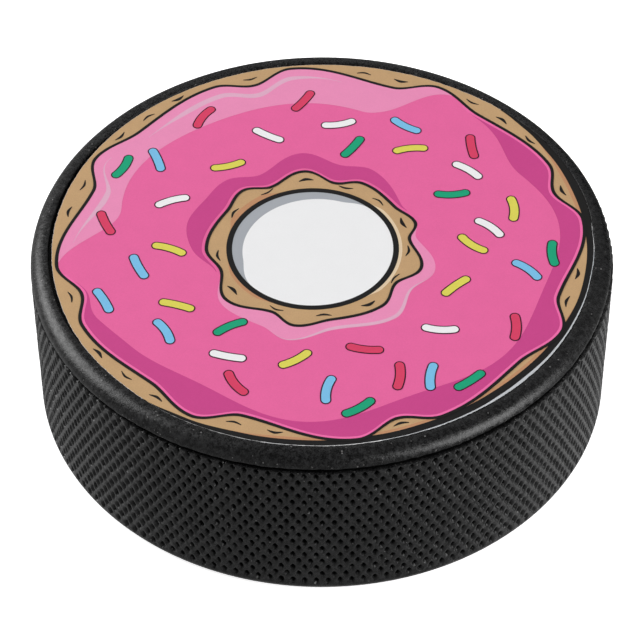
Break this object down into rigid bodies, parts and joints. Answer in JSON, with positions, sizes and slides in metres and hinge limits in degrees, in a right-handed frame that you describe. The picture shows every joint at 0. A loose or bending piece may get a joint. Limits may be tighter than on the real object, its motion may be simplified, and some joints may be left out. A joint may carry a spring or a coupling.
{
  "type": "hockey puck",
  "caption": "Round black rubber ice hockey puck with a diamond-knurled side, rounded rims and a printed iced ring doughnut picture on its top face.",
  "frame": {"origin": "centre of the flat underside, on the surface the puck lies on", "axes": "+Z along the disc's axis, from the plain underside to the printed top face; +X to the right and +Y away from a viewer in front who sees the picture the right way up"},
  "size_m": [0.0762, 0.0762, 0.0254],
  "materials": {
    "rubber": "satin moulded black rubber with a fine grain",
    "film_white": "satin white print base",
    "ink_tan": "satin ink",
    "ink_pink": "satin ink",
    "ink_grey": "satin ink",
    "ink_black": "satin ink"
  },
  "bodies": {
    "root": {"puck_body": "rubber", "print_film": "film_white", "print_dough": "ink_tan", "print_hole_shade": "ink_grey", "print_edge_line": "ink_black", "print_hole_line": "ink_black", "print_icing": "ink_pink", "print_icing_outer_line": "ink_black", "print_icing_inner_line": "ink_black"}
  },
  "joints": []
}
